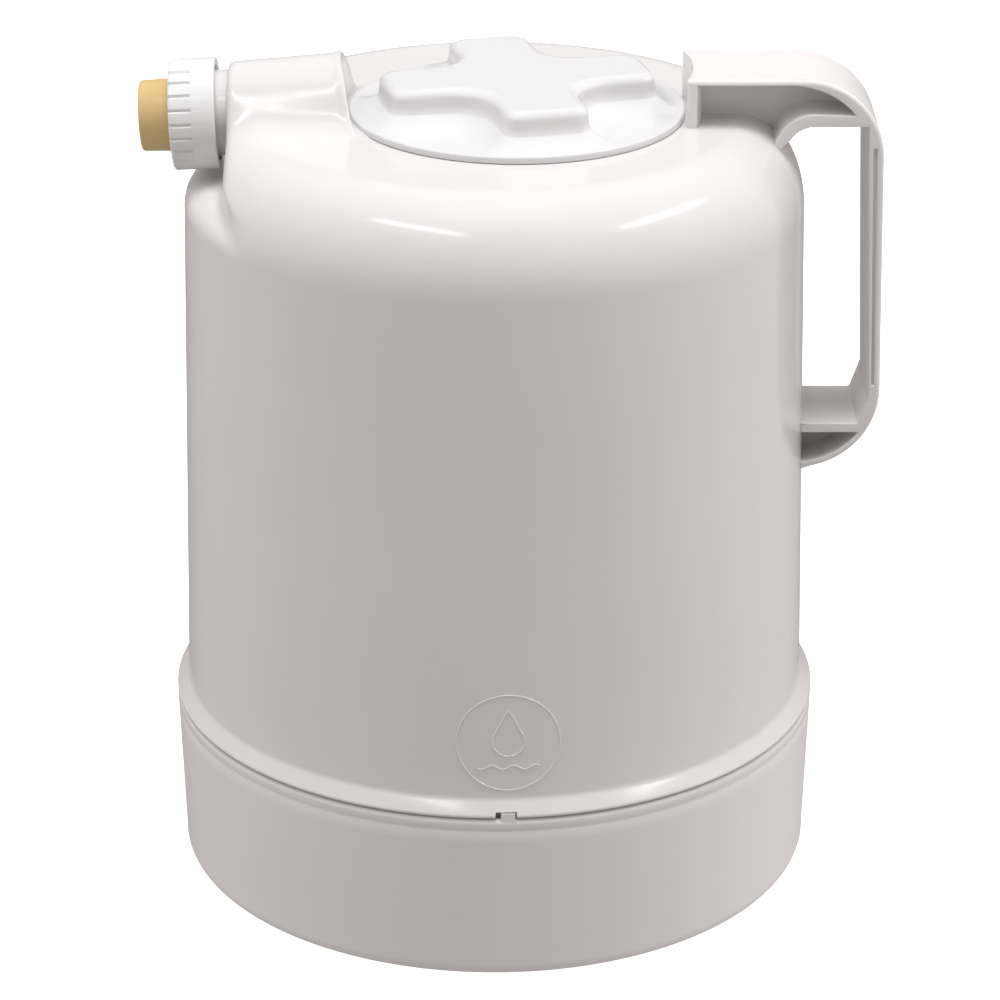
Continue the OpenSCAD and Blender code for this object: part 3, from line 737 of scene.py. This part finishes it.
def relief(name, loops, level_at, levels, bend, bevel):
    """A mesh symmetric about Y = 0 whose half width at a plan point is given by level_at."""
    verts, edges = [], []
    for loop in loops:
        loop = spaced(loop, PLAN_STEP)
        first = len(verts)
        verts += [Vector(p) for p in loop]
        edges += [(first + k, first + (k + 1) % len(loop)) for k in range(len(loop))]
    plan, _, cells = delaunay_2d_cdt(verts, edges, [], 0, 1e-5)[:3]
    plan = [tuple(p) for p in plan]
    height = [level_at(*(sum(plan[v][k] for v in cell) / 3 for k in (0, 1))) for cell in cells]
    ys = sorted({s * y for y in levels for s in (-1, 1)})
    index, points, faces = {}, [], []

    def vertex(v, y):
        if (v, y) not in index:
            index[v, y] = len(points)
            x, z = plan[v]
            points.append((x + bend(x, y), y, z))
        return index[v, y]

    sides = {}
    for cell, h in zip(cells, height):
        if h:
            faces.append([vertex(v, -h) for v in cell])
            faces.append([vertex(v, h) for v in reversed(cell)])
        for a, b in zip(cell, list(cell[1:]) + [cell[0]]):
            sides.setdefault((min(a, b), max(a, b)), []).append(h)
    for (a, b), around in sides.items():
        low, high = min(around + [0] * (2 - len(around))), max(around)
        if low == high:
            continue
        for y0, y1 in zip(ys, ys[1:]):
            if max(abs(y0), abs(y1)) <= high and (min(abs(y0), abs(y1)) >= low or (low == 0)) \
                    and not (low and y0 * y1 < 0):
                faces.append([vertex(a, y0), vertex(b, y0), vertex(b, y1), vertex(a, y1)])
    obj = make(name, points, faces, merge=0.01)
    round_edges(obj, outer_edge, bevel[0], 4)
    round_edges(obj, sharp_edge, bevel[1], 2)
    shade(obj, 40.0)
    weighted = obj.modifiers.new("weighted", "WEIGHTED_NORMAL")
    weighted.keep_sharp = True
    obj.data = bpy.data.meshes.new_from_object(obj.evaluated_get(bpy.context.evaluated_depsgraph_get()))
    obj.modifiers.clear()
    print(f"{name}: {len(obj.data.polygons)} faces after rounding")
    return obj


def sharp_edge(edge):
    return len(edge.link_faces) == 2 and edge.calc_face_angle(0) > math.radians(34)


def outer_edge(edge):
    """A sharp edge of the flat side that runs along the handle's outline, not along a bay or the gap."""
    if not sharp_edge(edge):
        return False
    middle = (edge.verts[0].co + edge.verts[1].co) / 2 / MM
    beyond = [middle + face.normal * 0.3 for face in edge.link_faces if abs(face.normal.y) < 0.5]
    return abs(middle.y) > HALF - 0.05 and any(not within(outline, p.x, p.z) for p in beyond)


def round_edges(obj, chosen, width, segments):
    """Rounds the chosen edges of a mesh."""
    bm = bmesh.new()
    bm.from_mesh(obj.data)
    bm.normal_update()
    bmesh.ops.bevel(bm, geom=[e for e in bm.edges if chosen(e)], offset=width * MM, offset_type="OFFSET",
                    segments=segments, profile=0.5, affect="EDGES", clamp_overlap=False, loop_slide=False)
    bm.to_mesh(obj.data)
    bm.free()


# %% Draw the handle and build it
BURY = 2.0                               # how far the handle's foot reaches into the tank wall
tank_line = [(wall_radius(z) - BURY, z) for z in np.linspace(141.5, SHOULDER_Z - 1, 8)]
shoulder_a, shoulder_b = WALL_TOP_R - FLAT_R - BURY, TOP_Z - SHOULDER_Z - BURY
tank_line += [(FLAT_R + shoulder_a * math.cos(a), SHOULDER_Z + shoulder_b * math.sin(a))
              for a in np.radians(np.linspace(0, 90, 16))]
recess_x = CAP_X + RECESS_R
outline = [(recess_x, HANDLE_Z)] + arc(99.5, HANDLE_Z - 26.5, 26.5, 90, 0, 30)
outline += arc(100, 170, 27.6, 4, -78, 26) + tank_line + [(recess_x, TOP_Z - BURY)]
finger_gap = [(88, 158.5), (120.5, 158.5), (123.8, 168), (120.8, 261.3)]
finger_gap += arc(103.5, 252, 9.3, 90, 150, 16) + [(88, 250)]
upper_bay = [(recess_x + 3.4, HANDLE_Z - 1.8)] + arc(95, HANDLE_Z - 29.8, 28, 90, 40, 18)
upper_bay += arc(103.5, 252, 13.4, 90, 150, 16) + [(88, 250), (recess_x + 3.4, 250)]
lower_bay = [(88, 155.3)] + arc(100, 170, 25.4, -35.5, -85, 14) + [(88, 144.6)]
groove = [(122.4, 254), (123.7, 254), (125.5, 172), (124.6, 172)]
outline = [tuple(float(v) for v in p) for p in outline]
HALF, HALF_WEB, GROOVE_DEPTH = HANDLE_W / 2, 1.5, 1.3


def handle_level(x, z):
    """Half the handle's width at a point of its plan; zero where it is open."""
    if not within(outline, x, z) or within(finger_gap, x, z):
        return 0
    if within(upper_bay, x, z) or within(lower_bay, x, z):
        return HALF_WEB
    return HALF - GROOVE_DEPTH if within(groove, x, z) else HALF


def handle_bend(x, y):
    """The end towards the cap follows the clearance circle round the cap."""
    share = 1 - smoothstep(x, recess_x + 3.5, recess_x + 16)
    return float(share * (math.sqrt(RECESS_R ** 2 - y * y) - RECESS_R))


handle_levels = (HALF, HALF - GROOVE_DEPTH, 10.0, 5.5, HALF_WEB)
handle = relief("handle_body", [outline, finger_gap, upper_bay, lower_bay, groove], handle_level,
                handle_levels, handle_bend, bevel=(1.3, 0.4))
dress(handle, HANDLE_WHITE, "vessel", "handle_white", "handle")

# %% [markdown]
# ## The filler cap
# The knob is a cross with soft inner corners. Its outline is again a distance function: two bars joined with
# a generous fillet. Rings of equal distance from that outline are stacked with a draft angle, a rounded top
# edge, and the flange sweeps up to the foot of the knob in a hollow curve.


# %% Distance to the cross outline and rings of equal distance
LOBE_REACH, LOBE_HALF, LOBE_TURN = 44.5, 13.5, math.radians(13.5)


def cross_distance(x, y):
    """Distance to the cross outline: two bars joined with a fillet."""
    bars = []
    for u, v in ((x, y), (y, x)):
        bars.append(smooth_max(np.abs(v) - LOBE_HALF, np.hypot(u, v * 0.55) - LOBE_REACH + 0.6, 5.0))
    return smooth_min(bars[0], bars[1], 17.0)


knob_angles = np.linspace(0, 2 * math.pi, 480, endpoint=False)


def cross_radius(offset):
    """Radius of the line at the given distance from the outline, for every angle."""
    low, high = np.full(len(knob_angles), 4.0), np.full(len(knob_angles), 60.0)
    for _ in range(30):
        middle = (low + high) / 2
        out = cross_distance(middle * np.cos(knob_angles), middle * np.sin(knob_angles)) > offset
        high, low = np.where(out, middle, high), np.where(out, low, middle)
    return (low + high) / 2


def knob_ring(radius, z):
    """One ring round the cap's axis. The radius is a number or one value for each angle."""
    a = knob_angles + LOBE_TURN
    r = radius + 0 * a
    return np.stack([CAP_X + r * np.cos(a), r * np.sin(a), z + 0 * a], -1)


CAP_Z = cap_low[2]                       # underside of the flange
FLANGE_TOP = CAP_Z + 2.35
FOOT_RISE, FOOT_REACH = 3.6, 9.0         # the flange sweeps up to the knob's foot
foot_r = cross_radius(0.7)
underside = ((0.0, 0.9), (44.0, 0.9), (52.9, 0.9), (53.0, 0.8), (53.0, 0.0))
knob = [knob_ring(r, CAP_Z + rise) for r, rise in underside]
knob += [knob_ring(r, z) for r, z in arc(CAP_R - 0.3, CAP_Z + 0.3, 0.3, -90, 0, 3)]
knob += [knob_ring(r, z) for r, z in arc(CAP_R - 0.7, FLANGE_TOP - 0.7, 0.7, 0, 90, 5)]
for t in np.linspace(0, 1, 22)[1:]:
    r = (CAP_R - 1.0) * (1 - t) + foot_r * t
    gap = cross_distance(r * np.cos(knob_angles), r * np.sin(knob_angles)) - 0.7
    knob.append(knob_ring(r, FLANGE_TOP + FOOT_RISE * np.clip(1 - gap / FOOT_REACH, 0, 1) ** 2.2))
knob += [knob_ring(cross_radius(0.3), KNOB_Z - 5.0)]
for a in np.linspace(0, 90, 9):
    offset = 0.1 - 3.0 * (1 - math.cos(math.radians(a)))
    knob.append(knob_ring(cross_radius(offset), KNOB_Z - 3.0 + 3.0 * math.sin(math.radians(a))))
top_r = cross_radius(-2.9)
knob += [knob_ring(top_r * share, KNOB_Z) for share in (0.97, 0.85, 0.6, 0.3, 0.0)]
cap = make("cap", np.concatenate(knob), grid_faces(len(knob), len(knob_angles)), 62.0)
dress(cap, CAP_WHITE, "cap", "cap_white", "cap_knob")

# %% [markdown]
# ## Union nut and bung
# The nut's grip is cut by 24 grooves that are open towards the end of the nut. The grooves are part of the
# grid: a groove lowers the radius over a few columns, so its bottom is a soft V as a mould pin leaves it.

# %% The nut and its thread
NUT_R, NUT_S, NUT_END = 18.2, 3.4, 18.4   # radius, and where the nut starts and ends along the spout
GROOVES, GRIP_DEPTH = 24, 0.75
nut_angles = np.linspace(0, 2 * math.pi, GROOVES * 20, endpoint=False)


def nut_ring(radius, s, depth=0.0):
    """One ring of the nut. A depth above zero lowers the radius in the grooves."""
    phase = (nut_angles * GROOVES / (2 * math.pi) + 0.15) % 1.0
    across = np.abs(phase - 0.5) * 2 * math.pi * NUT_R / GROOVES
    r = radius - depth * np.clip(1 - across / 0.65, 0, 1) ** 0.8
    return np.stack([r * np.cos(nut_angles), r * np.sin(nut_angles), s + 0 * nut_angles], -1)


nut_rows = [nut_ring(15.7, NUT_S + 0.3), nut_ring(16.0, NUT_S)]
nut_rows += [nut_ring(r, s) for r, s in arc(NUT_R - 0.5, NUT_S + 0.5, 0.5, -90, 0, 4)]
nut_rows += [nut_ring(NUT_R, NUT_S + s, depth) for s, depth in ((7.5, 0.0), (7.7, 0.3), (8.1, GRIP_DEPTH))]
nut_rows += [nut_ring(NUT_R, s, GRIP_DEPTH) for s in np.linspace(NUT_S + 9, NUT_END - 1.0, 5)]
nut_rows += [nut_ring(r, s, GRIP_DEPTH) for r, s in arc(NUT_R - 1.0, NUT_END - 1.0, 1.0, 0, 90, 5)[1:]]
end_face = ((NUT_R - 2.0, 0.0), (12.6, 0.0), (12.2, -0.4), (12.2, -2.6), (15.6, -2.6))
nut_rows += [nut_ring(r, NUT_END + s) for r, s in end_face]
flat = np.concatenate(nut_rows) @ np.array(OUTLET.to_3x3()).T + np.array(OUTLET.translation)
nut = make("nut_body", flat, grid_faces(len(nut_rows), len(nut_angles), close_rows=True), 30.0)
nut_thread = threads("nut_thread", 15.6, -1.2, 8, NUT_S + 3.2, NUT_S + 9.2, (1.8, 0.9), NUT_WHITE, OUTLET)
nut = join("nut_body", [nut] + nut_thread, 30.0)
dress(nut, NUT_WHITE, "nut", "nut_white", "union_nut")

# %% The bung, tapered inside the neck and straight outside
BUNG_S = 28.7
bung_profile = [(0, 2.0), (8.2, 2.0), (8.6, 2.4), (9.6, 13.2)]                    # tapered, in the neck
bung_profile += [(14.2, 13.2), (14.6, 13.6), (14.6, 15.2), (14.2, 15.6)]          # flange under the nut
bung_profile += [(11.95, 15.6), (11.9, 18.5), (11.75, 22.5), (11.6, BUNG_S - 1.4)]
bung_profile += arc(10.5, BUNG_S - 1.1, 1.1, 0, 90, 6)
bung_profile += [(9.0, BUNG_S), (5.0, BUNG_S - 0.15), (0, BUNG_S - 0.2)]
bung = lathe("bung_plug", bung_profile, 96, OUTLET, 40.0, closed=False)
dress(bung, TAN_RUBBER, "bung", "tan_rubber", "outlet_bung")

# %% [markdown]
# ## The base cup
# The cup is a grid whose outer radius drops where the cable enters, so the recess has soft ends. Posts for
# the base screws are joined on, and the screw pockets and the gland's seat are cut out.

# %% Cup wall, recess, posts, pockets and key
CUP_T, CUP_RIM_Z, FOOT_R, FOOT_ROUND = 2.4, 58.5, 107.4, 5.0
RECESS = (math.radians(152), math.radians(187))
edge_fine = [np.linspace(a - math.radians(2.5), a + math.radians(2.5), 22) for a in RECESS]
rest = [np.linspace(RECESS[0] + math.radians(2.8), RECESS[1] - math.radians(2.8), 24),
        np.linspace(RECESS[1] + math.radians(2.8), RECESS[0] - math.radians(2.8) + 2 * math.pi, 210)]
cup_angles = np.concatenate([edge_fine[0], rest[0], edge_fine[1], rest[1]])
depth_share = (smoothstep(cup_angles, RECESS[0] - 0.006, RECESS[0] + 0.006)
               * (1 - smoothstep(cup_angles, RECESS[1] - 0.006, RECESS[1] + 0.006)))


def cup_ring(radius, z, recess=False):
    """One ring of the cup, pulled in at the cable's recess where asked."""
    r = radius + 0 * cup_angles
    if recess:
        limit = 104.0 + max(0.0, z - 19.0) * 3.9 / 9.6
        r = r + depth_share * (np.minimum(r, smooth_min(r, limit, 0.8)) - r)
    return np.stack([r * np.cos(cup_angles), r * np.sin(cup_angles), z + 0 * cup_angles], -1)


def cup_wall_radius(z):
    return FOOT_R + (RIM_R - FOOT_R) * (z - 8) / (CUP_RIM_Z - 9.5)


cup_rows = [cup_ring(0, 0), cup_ring(60, 0), cup_ring(95, 0)]
cup_rows += [cup_ring(r, z, True) for r, z in arc(FOOT_R - FOOT_ROUND, FOOT_ROUND, FOOT_ROUND, -90, 0, 12)]
recess_heights = (8, 10, 13, 16, 18, 18.8, 19.4, 20.5, 22, 24, 26, 27.4, 28.3, 29, 30)
cup_rows += [cup_ring(cup_wall_radius(z), z, True) for z in recess_heights]
cup_rows += [cup_ring(cup_wall_radius(z), z) for z in (34, 42, 50, 54.2)]
cup_rows += [cup_ring(cup_wall_radius(54.6) - 0.16, 54.5), cup_ring(cup_wall_radius(54.9) - 0.16, 54.9),
             cup_ring(cup_wall_radius(55.3), 55.2)]
cup_rows += [cup_ring(r, z) for r, z in arc(RIM_R - 1.4, CUP_RIM_Z - 1.4, 1.4, 0, 90, 6)]
cup_rows += [cup_ring(RIM_R - CUP_T + 0.3, CUP_RIM_Z), cup_ring(RIM_R - CUP_T, CUP_RIM_Z - 0.3)]
cup_rows += [cup_ring(cup_wall_radius(z) - CUP_T, z) for z in (50, 34)]
inner_profile = [(100.9, 30.5), (100.9, 8.4)] + arc(95, 8.4, 6, -15, -90, 6) + [(50, CUP_T), (0, CUP_T)]
cup_rows += [cup_ring(r, z) for r, z in inner_profile]
cup = make("cup_body", np.concatenate(cup_rows), grid_faces(len(cup_rows), len(cup_angles)), 32.0)


SCREW_R = 75                             # the four base screws stand on this circle


def posts(name, profile):
    """Four turned pieces alike, one at each base screw."""
    pieces = []
    for k in range(4):
        a = math.radians(45 + 90 * k)
        place = Matrix.Translation((SCREW_R * math.cos(a), SCREW_R * math.sin(a), 0))
        pieces.append(lathe(f"{name}_{k}", profile, 40, place, closed=False))
    return join(name, pieces)


post = [(0, 1), (6.5, 1), (6.5, 46.3), (6.0, 46.8), (0, 46.8)]
pocket = [(0, -1), (5.4, -1), (5.4, 0), (4.4, 1.0), (4.4, 30), (2.1, 30), (2.1, 60), (0, 60)]
gland_seat = [(0, 90), (4.7, 90), (4.7, 103.4), (6.8, 103.4), (6.8, 114), (0, 114)]
GLAND_Z, GLAND_TURN = 12, math.radians(168)
GLAND = Matrix.Translation((0, 0, GLAND_Z)) @ Matrix.Rotation(GLAND_TURN, 4, "Z")
GLAND = GLAND @ Matrix.Rotation(math.pi / 2, 4, "Y")
cup = boolean(cup, posts("post", post), "UNION")
cup = boolean(cup, posts("pocket", pocket))
cup = boolean(cup, lathe("seat", gland_seat, 40, GLAND, closed=False))
key = block("key", (2.15, -108.7, CUP_RIM_Z - 3), (6.75, -106.7, CUP_RIM_Z + 2.2))
cup = join("cup_body", [cup, key], 32.0)
dress(cup, CUP_WHITE, "vessel", "cup_white", "base_cup")

# %% [markdown]
# ## Pieces that keep their CAD meshes
# Seals, screws, the heater and the wiring are shown as the CAD made them. Each gets its own material.

# %% Materials for the CAD pieces
KEPT = {
    SEAL_RUBBER: ("floor_seal", "cap_gasket", "outlet_washer"),
    SILICONE: ("relief_disc", "element_washers"),
    PLUG_WHITE: ("cap_plug",),
    FLOOR_PLASTIC: ("tank_floor",),
    STEEL: ("floor_screws", "base_screws", "relief_spring", "element_clip", "terminal_screws"),
    ELEMENT_STEEL: ("relief_cage", "heater_element"),
    BRASS: ("element_nuts", "earth_stud"),
    PHENOLIC: ("thermostat", "thermal_cutout"),
    NYLON: ("terminal_block",),
    DARK_NYLON: ("cable_gland", "gland_nut"),
    BROWN_SLEEVE: ("lead_live", "lead_link", "lead_element"),
    BLUE_SLEEVE: ("lead_neutral",),
    GREEN_SLEEVE: ("lead_earth",),
}
for mat, nodes in KEPT.items():
    for node in nodes:
        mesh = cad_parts[node].data
        mesh.materials.clear()
        mesh.materials.append(mat)
print("CAD pieces with materials:", sum(len(nodes) for nodes in KEPT.values()))

# %% [markdown]
# ## Stage, light and camera
# The vessel stands on a white floor that runs out into a white surround. A large lamp overhead makes the top
# bright, and the room light, stronger to the sides, lets the upright wall fall off to a warm grey in the
# middle. Two narrow soft boxes give the streaks on the shoulder.


# %% A lamp helper and the floor
def lamp(name, place, aim, size, power, colour=(1, 1, 1), along=(1, 0, 0)):
    """A rectangular light. Its long side lies in the given direction."""
    data = bpy.data.lights.new(name, "AREA")
    data.shape = "RECTANGLE"
    data.size, data.size_y = size
    data.energy = power
    data.color = colour
    obj = bpy.data.objects.new(name, data)
    bpy.context.scene.collection.objects.link(obj)
    back = (Vector(place) - Vector(aim)).normalized()
    up = back.cross(Vector(along)).normalized()
    obj.matrix_world = Matrix.Translation(place) @ Matrix((up.cross(back), up, back)).transposed().to_4x4()
    return obj


floor_mesh = bpy.data.meshes.new("floor")
floor_mesh.from_pydata([(-6, -6, 0), (6, -6, 0), (6, 6, 0), (-6, 6, 0)], [], [(0, 1, 2, 3)])
floor = bpy.data.objects.new("floor", floor_mesh)
bpy.context.scene.collection.objects.link(floor)
floor_mat, floor_tree, floor_shader, floor_add = material("white floor")
floor_noise = floor_add("ShaderNodeTexNoise", Scale=3.0, Detail=3.0)
floor_tree.links.new(floor_add("ShaderNodeTexCoord").outputs["Object"], floor_noise.inputs["Vector"])
floor_tone = ramp(floor_add, floor_tree, floor_noise.outputs["Fac"], [(0.3, grey(0.93)), (0.7, grey(0.96))])
floor_tree.links.new(floor_tone, floor_shader.inputs["Base Color"])
floor_shader.inputs["Roughness"].default_value = 0.9
floor_shader.inputs["Emission Color"].default_value = (1, 1, 1, 1)
floor_shader.inputs["Emission Strength"].default_value = 0.9
floor_mesh.materials.append(floor_mat)
floor.visible_diffuse = False
floor.visible_glossy = False

# %% World light, lamps and camera
ROOM, SIDE_GLOW, RIGHT_GLOW = 0.35, 2.3, 0.29   # the room is brighter to the sides, most to the right
world = bpy.data.worlds.new("white surround")
world.use_nodes = True
sky = world.node_tree
background = sky.nodes["Background"]
background.inputs["Color"].default_value = (1, 0.957, 0.937, 1)
direction = sky.nodes.new("ShaderNodeSeparateXYZ")
sky.links.new(sky.nodes.new("ShaderNodeTexCoord").outputs["Generated"], direction.inputs[0])
sideways = direction.outputs["X"]
squared = maths(sky, "MULTIPLY", sideways, sideways)
glow = maths(sky, "ADD", maths(sky, "MULTIPLY", squared, SIDE_GLOW), 1.0)
glow = maths(sky, "ADD", glow, maths(sky, "MULTIPLY", sideways, RIGHT_GLOW))
sky.links.new(maths(sky, "MULTIPLY", glow, ROOM), background.inputs["Strength"])
bpy.context.scene.world = world
overhead = lamp("overhead", (0, -0.15, 2.6), (0, 0, 0.2), (1.1, 1.1), 46.5, (0.97, 0.985, 1.0))
overhead.visible_glossy = False
lamp("left_strip", (-0.59, -0.73, 1.60), (0, -0.09, 0.25), (0.86, 0.12), 2.8, along=(0.64, -0.58, -0.04))
lamp("right_strip", (1.18, -0.21, 1.35), (0.05, -0.08, 0.25), (0.93, 0.12), 3.4, along=(0.26, 0.89, -0.12))

camera_data = bpy.data.cameras.new("camera")
camera = bpy.data.objects.new("camera", camera_data)
bpy.context.scene.collection.objects.link(camera)
bpy.context.scene.camera = camera
camera.location = (0, -1.2135, 0.6440)
camera.rotation_euler = (math.radians(90 - 22.15), 0, 0)
camera_data.sensor_width = 36
camera_data.lens = 140.04
camera_data.shift_x = 0.0057
camera_data.shift_y = -0.0726
bpy.context.scene.view_settings.view_transform = "Standard"
bpy.context.scene.view_settings.look = "None"
print("camera at", tuple(round(v, 3) for v in camera.location))
